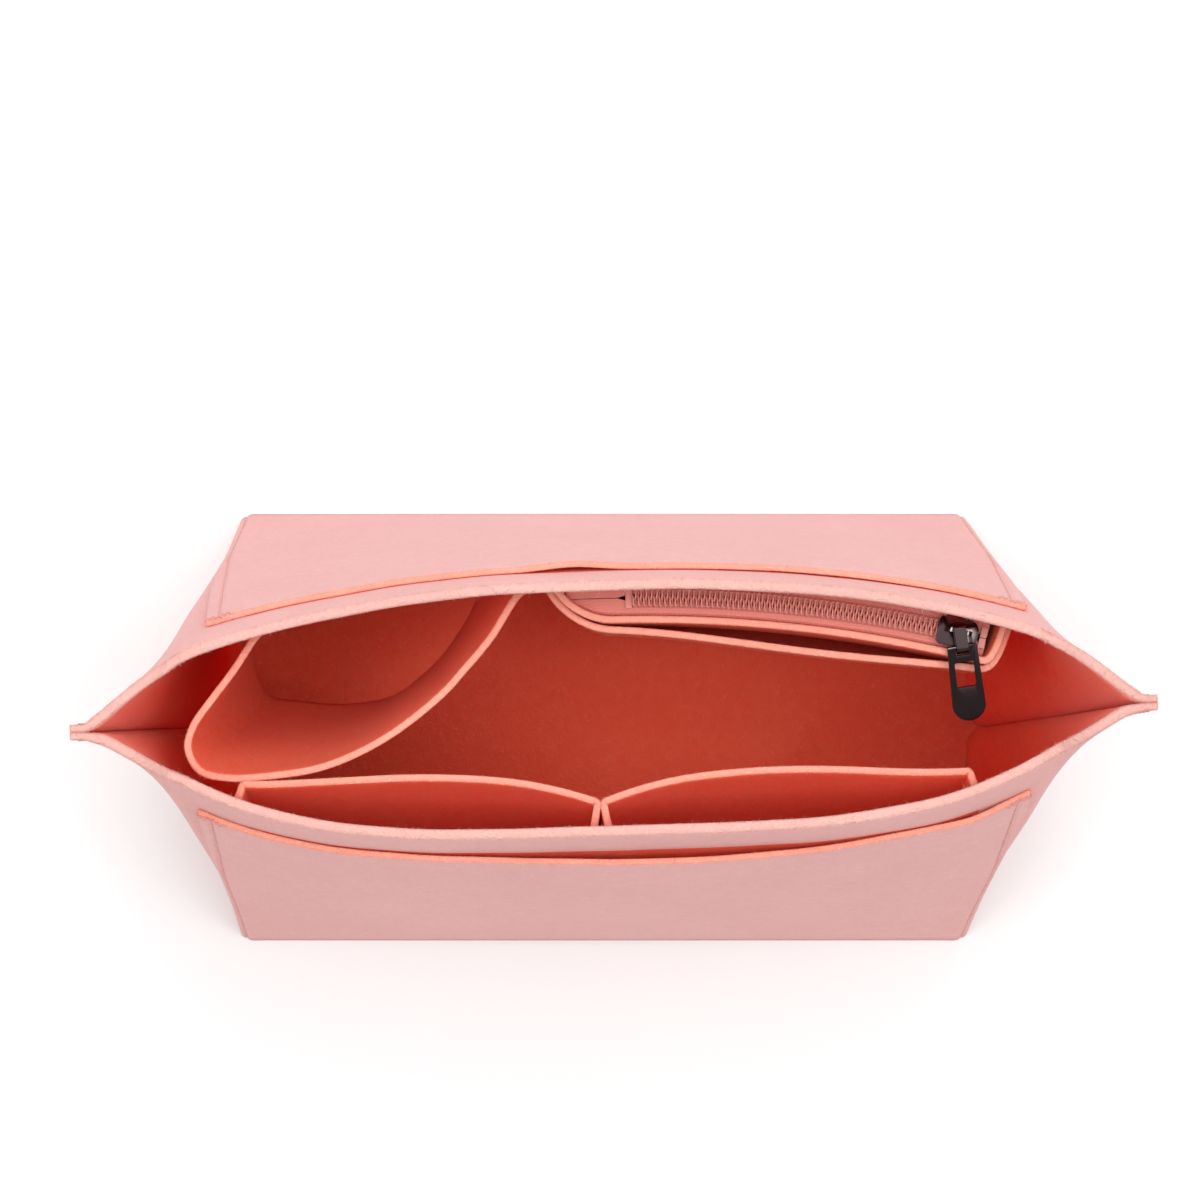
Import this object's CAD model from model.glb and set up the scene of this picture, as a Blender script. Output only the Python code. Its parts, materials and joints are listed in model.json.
import json
import math
import random

import bmesh
import bpy
from mathutils import Matrix, Vector, noise


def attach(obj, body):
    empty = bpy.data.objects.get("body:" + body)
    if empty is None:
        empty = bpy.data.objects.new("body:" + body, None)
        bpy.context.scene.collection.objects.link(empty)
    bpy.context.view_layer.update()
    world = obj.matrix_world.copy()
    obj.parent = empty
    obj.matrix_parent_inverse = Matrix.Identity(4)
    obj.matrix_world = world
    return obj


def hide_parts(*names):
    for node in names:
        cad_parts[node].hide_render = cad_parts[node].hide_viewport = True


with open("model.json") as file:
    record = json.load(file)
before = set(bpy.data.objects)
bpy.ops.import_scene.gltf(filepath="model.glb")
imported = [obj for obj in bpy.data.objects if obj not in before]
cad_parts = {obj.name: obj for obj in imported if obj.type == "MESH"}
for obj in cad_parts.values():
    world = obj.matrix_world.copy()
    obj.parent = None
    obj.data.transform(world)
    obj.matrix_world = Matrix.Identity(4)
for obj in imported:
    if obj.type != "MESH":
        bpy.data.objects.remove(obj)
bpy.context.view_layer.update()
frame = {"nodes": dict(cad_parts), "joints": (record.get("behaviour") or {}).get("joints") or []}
random.seed(11)

mm = 0.001
fullTurn = 2 * math.pi


def deselectAll():
    bpy.ops.object.select_all(action="DESELECT")


def choose(obj):
    deselectAll()
    obj.select_set(True)
    bpy.context.view_layer.objects.active = obj


def applyModifiers(obj):
    choose(obj)
    for modifier in list(obj.modifiers):
        bpy.ops.object.modifier_apply(modifier=modifier.name)


def lerp(a, b, share):
    return a + (b - a) * share


def clamp(value, low=0.0, high=1.0):
    return max(low, min(high, value))


def smooth(value):
    t = clamp(value)
    return t * t * (3 - 2 * t)


def hill(distance, width):
    return math.exp(-((distance / width) ** 2))


def spread(low, high, count):
    return [lerp(low, high, i / count) for i in range(count + 1)]


def merged(*lists):
    values = sorted(value for part in lists for value in part)
    kept = values[:1]
    for value in values[1:]:
        if value - kept[-1] > 1e-4:
            kept.append(value)
    return kept


def travelled(points):
    lengths = [0.0]
    for a, b in zip(points, points[1:]):
        lengths.append(lengths[-1] + (b - a).length)
    return lengths


print("camera and light")

camera = {"place": (-0.0157, -0.0153, 0.871), "lens": 77.9, "sensor": 36, "shift": (0.0358, 0.144)}

bpy.ops.object.camera_add(location=camera["place"], rotation=(0, 0, 0))
cameraObject = bpy.context.object
cameraObject.name = "camera"
cameraObject.data.lens = camera["lens"]
cameraObject.data.sensor_width = camera["sensor"]
cameraObject.data.shift_x, cameraObject.data.shift_y = camera["shift"]
cameraObject.data.clip_start = 0.01
bpy.context.scene.camera = cameraObject
bpy.context.scene.view_settings.view_transform = "Standard"

light = {
    "key": {"place": (0.1, 0.75, 1.5), "size": (1.1, 1.1), "power": 10.5},
    "over": {"place": (0, -0.05, 1.5), "size": (2.2, 0.7), "power": 15.5},
    "world": 0.47,
    "backdrop": 0.98,
}


def addLight(name, values, target=(0, 0, 0.05)):
    bpy.ops.object.light_add(type="AREA", location=values["place"])
    lamp = bpy.context.object
    lamp.name = name
    lamp.data.shape = "RECTANGLE"
    lamp.data.size, lamp.data.size_y = values["size"]
    lamp.data.energy = values["power"]
    away = Vector(values["place"]) - Vector(target)
    lamp.rotation_euler = away.to_track_quat("Z", "Y").to_euler()
    return lamp


addLight("keyLight", light["key"])
addLight("overLight", light["over"])


class Nodes:
    def __init__(self, tree):
        self.tree = tree
        tree.nodes.clear()

    def add(self, kind, inputs=None, **settings):
        node = self.tree.nodes.new(kind)
        for key, value in settings.items():
            setattr(node, key, value)
        for key, value in (inputs or {}).items():
            self.feed(node, key, value)
        return node

    def feed(self, node, key, value):
        socket = node.inputs[key]
        if isinstance(value, bpy.types.NodeSocket):
            self.tree.links.new(value, socket)
        elif isinstance(value, bpy.types.Node):
            self.tree.links.new(value.outputs[0], socket)
        else:
            socket.default_value = value

    def math(self, operation, a, b=0.5):
        node = self.add("ShaderNodeMath", operation=operation)
        self.feed(node, 0, a)
        self.feed(node, 1, b)
        return node.outputs[0]

    def weighted(self, parts, weights):
        total, *others = [self.math("MULTIPLY", part, weight) for part, weight in zip(parts, weights)]
        for other in others:
            total = self.math("ADD", total, other)
        return total

    def mix(self, a, b, factor):
        node = self.add("ShaderNodeMix", {0: factor}, data_type="RGBA")
        for key, value in ((6, a), (7, b)):
            self.feed(node, key, value if isinstance(value, bpy.types.NodeSocket) else (*value, 1))
        return node.outputs[2]

    def place(self):
        return self.add("ShaderNodeTexCoord").outputs["Object"]

    def noise(self, place, scale, detail, roughness=0.5, **settings):
        inputs = {"Vector": place, "Scale": scale, "Detail": detail, "Roughness": roughness}
        return self.add("ShaderNodeTexNoise", inputs, **settings)

    def ramp(self, value, low, high, start=0.0, end=1.0, **settings):
        inputs = {"Value": value, "From Min": low, "From Max": high, "To Min": start, "To Max": end}
        return self.add("ShaderNodeMapRange", inputs, **settings).outputs[0]

    def bump(self, height, strength, distance):
        return self.add("ShaderNodeBump", {"Height": height, "Strength": strength, "Distance": distance})

    # 1 for what the camera sees, straight or through metal and glass, and 0 for light that falls on things
    def seen(self):
        path = self.add("ShaderNodeLightPath")
        seen = path.outputs["Is Camera Ray"]
        for kind in ("Is Glossy Ray", "Is Transmission Ray"):
            seen = self.math("MAXIMUM", seen, path.outputs[kind])
        return seen

    def surface(self, inputs):
        shader = self.add("ShaderNodeBsdfPrincipled", inputs)
        self.add("ShaderNodeOutputMaterial", {"Surface": shader})


world = bpy.data.worlds.new("studio")
bpy.context.scene.world = world
world.use_nodes = True
nodes = Nodes(world.node_tree)
soft, white = [
    nodes.add("ShaderNodeBackground", {"Color": (1, 1, 1, 1), "Strength": light[key]})
    for key in ("world", "backdrop")
]
choice = nodes.add("ShaderNodeMixShader", {0: nodes.seen(), 1: soft, 2: white})
nodes.add("ShaderNodeOutputWorld", {"Surface": choice})

print("materials")


def newMaterial(name):
    material = bpy.data.materials.new(name)
    material.use_nodes = True
    return material, Nodes(material.node_tree)


# Needled felt: fibres laid every way, clumped into soft mottling, with a fuzz that catches light at the edge
# of view. A lining with a tip colour is paler at the walls' ends and towards the rim.
fibres = {
    "bend": (230.0, 2.0), "bendBy": 0.006, "fibre": (900.0, 3.0, 0.6), "clump": (260.0, 4.0, 0.65),
    "cloud": (28.0, 3.0), "toShade": (0.45, 0.35, 0.3), "toHeight": (0.6, 0.9), "shade": (0.3, 0.78),
    "tipX": (0.128, 0.148), "tipZ": (0.1, 0.153, 0.0, 0.35), "tipShare": 0.75, "depth": 0.0006,
}


def feltMaterial(name, values):
    material, nodes = newMaterial(name)
    place = nodes.place()
    bent = nodes.noise(place, *fibres["bend"]).outputs["Color"]
    for operation, by in (("SUBTRACT", (0.5,) * 3), ("MULTIPLY", (fibres["bendBy"],) * 3), ("ADD", place)):
        bent = nodes.add("ShaderNodeVectorMath", {0: bent, 1: by}, operation=operation)
    fibre = nodes.noise(bent, *fibres["fibre"], noise_type="RIDGED_MULTIFRACTAL", normalize=True)
    clump = nodes.noise(place, *fibres["clump"])
    cloud = nodes.noise(place, *fibres["cloud"])
    shade = nodes.weighted((fibre, clump, cloud), fibres["toShade"])
    colour = nodes.mix(values["dark"], values["light"], nodes.ramp(shade, *fibres["shade"]))
    if "tip" in values:
        split = nodes.add("ShaderNodeSeparateXYZ", {0: place})
        across = nodes.math("ABSOLUTE", split.outputs[0])
        near = nodes.ramp(across, *fibres["tipX"], interpolation_type="SMOOTHSTEP")
        high = nodes.ramp(split.outputs[2], *fibres["tipZ"])
        pale = nodes.math("MAXIMUM", nodes.math("MULTIPLY", near, fibres["tipShare"]), high)
        colour = nodes.mix(colour, values["tip"], pale)
    height = nodes.weighted((fibre, clump), fibres["toHeight"])
    nodes.surface({
        "Base Color": colour, "Roughness": 0.95, "Specular IOR Level": 0.12,
        "Sheen Weight": values["fuzz"], "Sheen Roughness": 0.45, "Sheen Tint": (*values["tint"], 1),
        "Subsurface Weight": values.get("glow", 0.0), "Subsurface Radius": (1.0, 0.06, 0.03),
        "Subsurface Scale": 0.012,
        "Normal": nodes.bump(height, values["bump"], fibres["depth"]),
    })
    return material


# The red felt's glow is the light that comes through a thin wall, which leaves its corners a deep clear red.
redFelt = {"tint": (1, 0.6, 0.5), "fuzz": 0.08, "bump": 0.7}
cutFelt = {"fuzz": 0.2, "bump": 1.0}
felt = {
    "feltOutside": {
        "dark": (0.82, 0.41, 0.385), "light": (0.95, 0.53, 0.505), "tint": (1, 0.9, 0.9),
        "fuzz": 0.2, "bump": 0.6,
    },
    "feltInside": {**redFelt, "dark": (0.9, 0.12, 0.06), "light": (0.98, 0.18, 0.105), "glow": 0.6},
    "feltFloor": {**redFelt, "dark": (0.92, 0.135, 0.07), "light": (1, 0.2, 0.12)},
    "feltLining": {
        **redFelt, "dark": (0.93, 0.11, 0.055), "light": (1, 0.17, 0.095),
        "glow": 0.75, "tip": (0.95, 0.42, 0.36),
    },
    "feltRim": {**cutFelt, "dark": (0.76, 0.42, 0.37), "light": (0.9, 0.54, 0.48), "tint": (1, 0.9, 0.85)},
    "feltEdge": {**cutFelt, "dark": (0.86, 0.34, 0.25), "light": (1, 0.5, 0.4), "tint": (1, 0.8, 0.7)},
}
feltOutside, feltInside, feltFloor, feltLining, feltRim, feltEdge = [
    feltMaterial(name, values) for name, values in felt.items()
]


def threadMaterial(name, colour):
    material, nodes = newMaterial(name)
    twist = nodes.noise(nodes.place(), 2600.0, 2.0)
    nodes.surface({
        "Base Color": nodes.mix([0.7 * part for part in colour], colour, twist), "Roughness": 0.5,
        "Sheen Weight": 0.3, "Normal": nodes.bump(twist, 0.5, 0.0001),
    })
    return material


# Woven tape: two sets of yarns crossing at the pitch of a zip's tape, from the lengths along its mesh
def tapeMaterial(name, values):
    material, nodes = newMaterial(name)
    place = nodes.add("ShaderNodeUVMap", uv_map="felt").outputs[0]
    split = nodes.add("ShaderNodeSeparateXYZ", {0: place})
    along, across = [nodes.math("MULTIPLY", split.outputs[k], fullTurn / values["pitch"]) for k in (0, 1)]
    twill = nodes.math("SINE", nodes.math("ADD", along, across))
    rib = nodes.math("SINE", nodes.math("MULTIPLY", across, 2.0))
    yarns = nodes.math("ADD", nodes.weighted((twill, rib), (0.3, 0.2)), 0.5)
    nodes.surface({
        "Base Color": nodes.mix(values["dark"], values["light"], yarns), "Roughness": 0.75,
        "Sheen Weight": 0.25, "Normal": nodes.bump(yarns, 0.6, 0.0002),
    })
    return material


def nylonMaterial(name, colour):
    material, nodes = newMaterial(name)
    grain = nodes.noise(nodes.place(), 900.0, 3.0)
    nodes.surface({
        "Base Color": nodes.mix([0.85 * part for part in colour], colour, grain),
        "Roughness": nodes.ramp(grain, 0.0, 1.0, 0.25, 0.45), "Specular IOR Level": 0.5,
    })
    return material


# Black nickel: polished, with fine wipe marks in its roughness and a little wear where edges are rubbed
def metalMaterial(name, values):
    material, nodes = newMaterial(name)
    stretch = nodes.add("ShaderNodeMapping", {"Vector": nodes.place(), "Scale": (1, 5, 1)})
    wipe = nodes.noise(stretch, 420.0, 5.0, 0.7)
    shape = nodes.add("ShaderNodeNewGeometry").outputs["Pointiness"]
    rubbed = nodes.math("MULTIPLY", nodes.ramp(shape, *values["edges"], 0.0, 0.8), wipe)
    nodes.surface({
        "Base Color": nodes.mix(values["colour"], values["rubbed"], rubbed), "Metallic": 1.0,
        "Roughness": nodes.ramp(wipe, 0.3, 0.75, *values["rough"]),
    })
    return material


thread = threadMaterial("thread", (0.83, 0.33, 0.28))
tapeCloth = tapeMaterial(
    "tapeCloth", {"pitch": 0.0007, "dark": (0.62, 0.18, 0.14), "light": (0.86, 0.34, 0.28)},
)
nylon = nylonMaterial("nylon", (0.8, 0.3, 0.24))
stopNylon = nylonMaterial("stopNylon", (0.7, 0.24, 0.19))
blackNickel = metalMaterial(
    "blackNickel", {
        "rough": (0.12, 0.3), "edges": (0.53, 0.64),
        "colour": (0.024, 0.016, 0.017), "rubbed": (0.6, 0.54, 0.52),
    },
)

print("shared shapes")

piecesMade = []


def keep(obj, body, *replaced):
    if replaced:
        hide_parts(*replaced)
    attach(obj, body)
    piecesMade.append(obj.name)
    return obj


def addMesh(name, vertices, faces, materials, faceMaterials=None):
    mesh = bpy.data.meshes.new(name)
    mesh.from_pydata([Vector(v) * mm for v in vertices], [], faces)
    for material in materials:
        mesh.materials.append(material)
    if faceMaterials:
        mesh.polygons.foreach_set("material_index", faceMaterials)
    obj = bpy.data.objects.new(name, mesh)
    bpy.context.collection.objects.link(obj)
    choose(obj)
    bpy.ops.object.shade_smooth()
    return obj


# A felt panel from a rule that places a point at a station across, a row up and a depth in the felt. Its cut
# edges are a little rounded, and the mesh keeps lengths along the felt as texture coordinates. All panels
# are sewn in place, so each is a sheet held stretched.
edgeDepths = (0.2, 0.5, 0.8)


def feltPanel(name, cadName, across, rows, place, depths, materials, rounding):
    columnCount, rowCount = len(across), len(rows)
    grids = [[[place(u, v, depth) for u in across] for v in rows] for depth in depths]
    border = [(i, 0) for i in range(columnCount)]
    border += [(columnCount - 1, j) for j in range(1, rowCount)]
    border += [(i, rowCount - 1) for i in range(columnCount - 2, -1, -1)]
    border += [(0, j) for j in range(rowCount - 2, 0, -1)]
    middleRow = grids[0][rowCount // 2]
    middleColumn = [row[columnCount // 2] for row in grids[0]]
    alongLengths, upLengths = [
        [length * mm for length in travelled(line)] for line in (middleRow, middleColumn)
    ]

    vertices, coordinates = [], []
    for grid in grids:
        for j, row in enumerate(grid):
            for i, point in enumerate(row):
                coordinates.append((alongLengths[i], upLengths[j]))
                if 0 < i < columnCount - 1 and 0 < j < rowCount - 1:
                    vertices.append(point)
                    continue
                inner = grid[min(max(j, 1), rowCount - 2)][min(max(i, 1), columnCount - 2)]
                step = inner - point
                atCorner = i in (0, columnCount - 1) and j in (0, rowCount - 1)
                pull = min(rounding * (1.4 if atCorner else 1), step.length * 0.6)
                vertices.append(point + step.normalized() * pull)
    ringStart = len(vertices)
    for depth in edgeDepths:
        for i, j in border:
            vertices.append(grids[0][j][i].lerp(grids[1][j][i], depth))
            coordinates.append((alongLengths[i] + depth * 0.002, upLengths[j] + depth * 0.002))

    def gridIndex(side, i, j):
        return (side * rowCount + j) * columnCount + i

    faces, marks = [], []
    for side in (0, 1):
        for j in range(rowCount - 1):
            for i in range(columnCount - 1):
                face = [gridIndex(side, i + a, j + b) for a, b in ((0, 0), (1, 0), (1, 1), (0, 1))]
                faces.append(face if side else face[::-1])
                marks.append(side)
    count = len(border)
    ladder = [[gridIndex(0, i, j) for i, j in border]]
    ladder += [[ringStart + k * count + n for n in range(count)] for k in range(len(edgeDepths))]
    ladder += [[gridIndex(1, i, j) for i, j in border]]
    for lower, upper in zip(ladder, ladder[1:]):
        for n in range(count):
            following = (n + 1) % count
            faces.append([lower[n], lower[following], upper[following], upper[n]])
            marks.append(2)
    obj = addMesh(name, vertices, faces, materials, marks)
    layer = obj.data.uv_layers.new(name="felt")
    for loop in obj.data.loops:
        layer.data[loop.index].uv = coordinates[loop.vertex_index]
    area = sum(polygon.area for polygon in obj.data.polygons if polygon.material_index != 2) / 2
    turnOutward(obj)
    flat = (alongLengths[-1], max(upLengths[-1], area / alongLengths[-1]))
    return keep(obj, "shell", cadName)


def turnOutward(obj):
    edit = bmesh.new()
    edit.from_mesh(obj.data)
    bmesh.ops.recalc_face_normals(edit, faces=edit.faces)
    if edit.calc_volume(signed=True) < 0:
        bmesh.ops.reverse_faces(edit, faces=edit.faces)
    edit.to_mesh(obj.data)
    edit.free()
    obj.data.update()


# Stitches: each is a short thread that dips into the felt at both ends.
stitchShape = {
    "profile": [(0, -0.35), (0.12, 0.25), (0.35, 0.85), (0.65, 0.85), (0.88, 0.25), (1, -0.35)], "sides": 6,
    "end": 0.06, "thinEnd": 0.75, "flat": 0.8,
}


def stitchMesh(name, runs, radius):
    vertices, faces = [], []
    sides, profile = stitchShape["sides"], stitchShape["profile"]
    for start, end, normal in runs:
        along = end - start
        normal = normal.normalized()
        across = along.cross(normal).normalized()
        base = len(vertices)
        for share, lift in profile:
            passed = stitchShape["end"] + (1 - 2 * stitchShape["end"]) * share
            centre = start + along * passed + normal * (lift * radius)
            wide = radius * (stitchShape["thinEnd"] if share in (0, 1) else 1)
            for k in range(sides):
                angle = fullTurn * k / sides
                high = wide * math.sin(angle) * stitchShape["flat"]
                vertices.append(centre + across * (wide * math.cos(angle)) + normal * high)
        for ring in range(len(profile) - 1):
            for k in range(sides):
                a = base + ring * sides + k
                b = base + ring * sides + (k + 1) % sides
                faces.append([a, b, b + sides, a + sides])
        faces.append([base + k for k in reversed(range(sides))])
        last = base + (len(profile) - 1) * sides
        faces.append([last + k for k in range(sides)])
    obj = addMesh(name, vertices, faces, [thread])
    turnOutward(obj)
    return keep(obj, "shell")


def stitchRuns(points, outward, stitch):
    lengths = travelled(points)

    def at(distance):
        for n in range(len(points) - 1):
            if distance <= lengths[n + 1]:
                share = (distance - lengths[n]) / max(lengths[n + 1] - lengths[n], 1e-6)
                return points[n].lerp(points[n + 1], share), outward[n].lerp(outward[n + 1], share)
        return points[-1], outward[-1]

    runs = []
    for n in range(int(lengths[-1] / stitch)):
        (start, normal), (end, _) = at(n * stitch), at((n + 1) * stitch)
        runs.append((start, end, normal))
    return runs


# Loose fibres standing from a cut edge: each is a thin curled ribbon. None reaches below the floor.
fuzzShape = {
    "stray": 0.75, "shortest": 0.35, "long": 2, "longShare": 0.06, "width": (0.6, 1.2), "curl": 0.45,
    "thin": 0.8, "lowest": 0.05,
}


def fuzzMesh(name, roots, values, material):
    vertices, faces = [], []
    for point, outward in roots:
        direction = outward.normalized() + Vector([random.gauss(0, fuzzShape["stray"]) for _ in range(3)])
        direction.normalize()
        side = direction.cross(Vector([random.gauss(0, 1) for _ in range(3)])).normalized()
        curl = side.cross(direction) * random.uniform(-1, 1) + side * random.uniform(-1, 1)
        length = values["length"] * random.uniform(fuzzShape["shortest"], 1)
        length *= fuzzShape["long"] if random.random() < fuzzShape["longShare"] else 1
        width = values["width"] * random.uniform(*fuzzShape["width"])
        base = len(vertices)
        for k in range(4):
            share = k / 3
            bent = curl * (length * fuzzShape["curl"] * share * share)
            centre = point + direction * (length * share) + bent
            half = side * (width * (1 - fuzzShape["thin"] * share) / 2)
            vertices.extend([centre - half, centre + half])
        for k in range(3):
            a = base + 2 * k
            faces.append([a, a + 1, a + 3, a + 2])
    vertices = [Vector((v.x, v.y, max(v.z, fuzzShape["lowest"]))) for v in vertices]
    return keep(addMesh(name, vertices, faces, [material]), "shell")


def edgeRoots(place, across, row, depths, count, outward):
    roots = []
    for _ in range(count):
        position = random.random() * (len(across) - 1)
        n = min(int(position), len(across) - 2)
        u = lerp(across[n], across[n + 1], position - n)
        depth = random.choice([depths[0], depths[1], random.uniform(*depths)])
        roots.append((place(u, row, depth), outward(u, row)))
    return roots


# A felt piece inside the mouth: the fibres of its top edge lean a little to its two sides.
def insidePanel(name, cadName, across, rows, place, depths, values):
    lean = values["lean"]
    rise = lambda u, row: Vector((0, random.uniform(-lean, lean), 0.9))
    feltPanel(name, cadName, across, rows, place, depths, [feltInside, feltInside, feltEdge], 0.3)
    fuzzMesh(name + "Fuzz", edgeRoots(place, across, 1, depths, values["count"], rise), values, feltEdge)


print("walls")

wall = {
    "felt": 3.0, "seat": 0.3,
    "baseLength": 241.5, "baseDepth": 139.0, "footRadius": 4.6, "sideBow": 3.0, "pressed": 0.72,
    "panelHeight": 154.0, "seamAllowance": 6.0, "seamRoll": 3.3,
    "mouthLength": 289.0, "front": (30.1, 13.1, 3.5), "back": (35.1, 18.9, 2.35),
    "seamBlend": 0.8, "mouthTwist": 1.6, "kink": 0.84, "kinkRun": 5.0, "kinkBlend": 3.0,
    "faceShare": 0.6, "cornerShare": 0.7, "sideShare": 0.86, "rollShare": 0.96,
}
halfLength = wall["baseLength"] / 2 - wall["felt"]
halfDepth = wall["baseDepth"] / 2 - wall["felt"]
innerRadius = wall["footRadius"] - wall["felt"]
innerRoll = wall["seamRoll"] + wall["felt"]
faceHalf = halfLength - innerRadius
sideMiddle = halfLength + wall["sideBow"]
mouthHalf = wall["mouthLength"] / 2
zoneShares = [0, wall["faceShare"], wall["cornerShare"], wall["sideShare"], wall["rollShare"], 1]
kinkAt = wall["kink"] * mouthHalf
rimZones = [
    0, kinkAt - wall["kinkRun"] / 2, kinkAt + wall["kinkRun"] / 2,
    mouthHalf - innerRoll, mouthHalf + wall["seamAllowance"] / 2, mouthHalf + wall["seamAllowance"],
]


def zoneOf(station):
    zone = next(i for i in range(5) if i == 4 or station <= zoneShares[i + 1])
    return zone, (station - zoneShares[zone]) / (zoneShares[zone + 1] - zoneShares[zone])


def footPoint(station):
    zone, share = zoneOf(station)
    turn = share * math.pi / 2
    sideStart = halfDepth - innerRadius
    if zone == 0:
        return share * faceHalf, halfDepth
    if zone == 1:
        return faceHalf + innerRadius * math.sin(turn), sideStart + innerRadius * math.cos(turn)
    if zone == 2:
        return halfLength + wall["sideBow"] * math.sin(turn), lerp(sideStart, innerRoll, share)
    if zone == 3:
        return sideMiddle + innerRoll - innerRoll * math.cos(turn), innerRoll - innerRoll * math.sin(turn)
    return sideMiddle + innerRoll + share * wall["seamAllowance"], 0


def rimPoint(side, station):
    zone, share = zoneOf(station)
    x = lerp(rimZones[zone], rimZones[zone + 1], share)
    middle, kink, fullness = wall["front"] if side < 0 else wall["back"]
    longPart = kink + (middle - kink) * (1 - (x / kinkAt) ** fullness)
    shortPart = kink * (mouthHalf - x) / (mouthHalf - kinkAt)
    curve = (longPart + shortPart - math.hypot(longPart - shortPart, wall["kinkBlend"])) / 2
    sewn = smooth(2 * (x - mouthHalf) / wall["seamAllowance"])
    return x, (curve + math.hypot(curve, 2 * wall["seamBlend"])) / 2 * (1 - sewn)


def wallRise(side, station):
    footX, footOut = footPoint(abs(station))
    rimX, rimOut = rimPoint(side, abs(station))
    return math.sqrt(wall["panelHeight"] ** 2 - (rimX - footX) ** 2 - (rimOut - footOut) ** 2)


def wallInner(side, station, height):
    footX, footOut = footPoint(abs(station))
    rimX, rimOut = rimPoint(side, abs(station))
    x = math.copysign(lerp(footX, rimX, height), station)
    y = side * lerp(footOut, rimOut, height)
    turn = math.radians(wall["mouthTwist"]) * height
    return Vector((
        x * math.cos(turn) - y * math.sin(turn),
        x * math.sin(turn) + y * math.cos(turn),
        height * wallRise(side, station),
    ))


def wallNormal(side, station, height, reach=0.001):
    slope = wallInner(side, station + reach, height) - wallInner(side, station - reach, height)
    slope.z = 0
    slope.normalize()
    return Vector((-slope.y, slope.x, 0)) * side


def wallPoint(side, station, height, offset, reach=0.001):
    return wallInner(side, station, height) + wallNormal(side, station, height, reach) * offset


def wallAt(side, x, level, offset):
    past = max(abs(x) - faceHalf, 0) / (halfLength - faceHalf)
    station = min(abs(x) / faceHalf, 1) * wall["faceShare"] + past * (wall["cornerShare"] - wall["faceShare"])
    station = math.copysign(station, x)
    return wallPoint(side, station, level / wallRise(side, station), offset)


# What soft felt adds to the plain panel: a belly between foot and rim, fuller shoulders over the foot's
# corners, and shallow waves that fade out at the seams. Each wave has its pace along and up, seed and share.
swell = {
    "belly": (2.0, 0.45, 1.5), "shoulder": (0.8, 0.7, 0.1, 0.72, 0.28), "corner": (0.5, 0.65, 0.035, 0.6),
    "ripple": 0.45, "waves": ((3.1, 1.3, 5.0, 1.6), (9.0, 2.2, 9.0, 0.7)), "sewn": (0.9, 0.2), "foot": 0.12,
}


def wallSwell(side, station, height):
    s = abs(station)
    belly, bellyWidth, bellyRise = swell["belly"]
    body = belly * math.sin(math.pi * clamp(height)) ** bellyRise * hill(s, bellyWidth)
    shoulder, at, width, level, tall = swell["shoulder"]
    body += shoulder * (hill(s - at, width) * hill(height - level, tall))
    end, fade = swell["sewn"]
    free = smooth((end - s) / fade) * smooth(height / swell["foot"])
    ripple = sum(
        share * noise.noise(Vector((station * along, height * up, side * seed)))
        for along, up, seed, share in swell["waves"]
    )
    corner, at, width, top = swell["corner"]
    corner *= hill(s - at, width) * (1 - smooth(height / top))
    return corner + smooth(height / 0.1) * (body + swell["ripple"] * free * ripple)


# The seams' stitches press the felt thinner along the sewn edges. Where the roll towards a seam begins, the
# felt's turn is spread over some mm, so that its outer face doesn't fold over itself.
turning = {"pressAt": 0.9, "pressRun": 0.06, "reach": (0.001, 0.022), "width": 0.045}


def wallSurface(side, station, height, offset):
    pressed = lerp(1, wall["pressed"], smooth((abs(station) - turning["pressAt"]) / turning["pressRun"]))
    reach = lerp(*turning["reach"], hill(abs(station) - wall["sideShare"], turning["width"]))
    return wallPoint(side, station, height, offset * pressed + wallSwell(side, station, height), reach)


zoneSteps = (46, 10, 16, 14, 4)
halfStations = merged(*[spread(a, b, n) for a, b, n in zip(zoneShares, zoneShares[1:], zoneSteps)])
wallStations = merged([-s for s in halfStations], halfStations)
wallFuzz = {"count": 5200, "endCount": 700, "inset": 0.1, "length": 1.0, "width": 0.07, "lean": 0.7}


def makeWall(side, name, cadName):
    return feltPanel(
        name, cadName, wallStations, spread(0, 1, 36), lambda *spot: wallSurface(side, *spot),
        (0, wall["felt"]), [feltLining, feltOutside, feltRim, feltInside], 0.5,
    )


def makeWallFuzz(side, name):
    lean, depths = wallFuzz["lean"], (wallFuzz["inset"], wall["felt"] - wallFuzz["inset"])
    rise = lambda s, h: Vector((0, 0, 0.9)) + wallNormal(side, s, 1) * random.uniform(-lean, lean)
    place = lambda *spot: wallSurface(side, *spot)
    roots = edgeRoots(place, wallStations, 1, depths, wallFuzz["count"], rise)
    for end in (-1, 1):
        for _ in range(wallFuzz["endCount"]):
            roots.append((place(end, random.random(), random.uniform(*depths)), Vector((end, 0, 0))))
    return fuzzMesh(name, roots, wallFuzz, feltRim)


frontWall = makeWall(-1, "frontWall", "front_wall")
backWall = makeWall(1, "backWall", "back_wall")
makeWallFuzz(-1, "frontWallFuzz")
makeWallFuzz(1, "backWallFuzz")

print("base")

base = {"thick": 3.0, "past": 0.9, "nib": 0.955, "round": 0.35}


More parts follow.
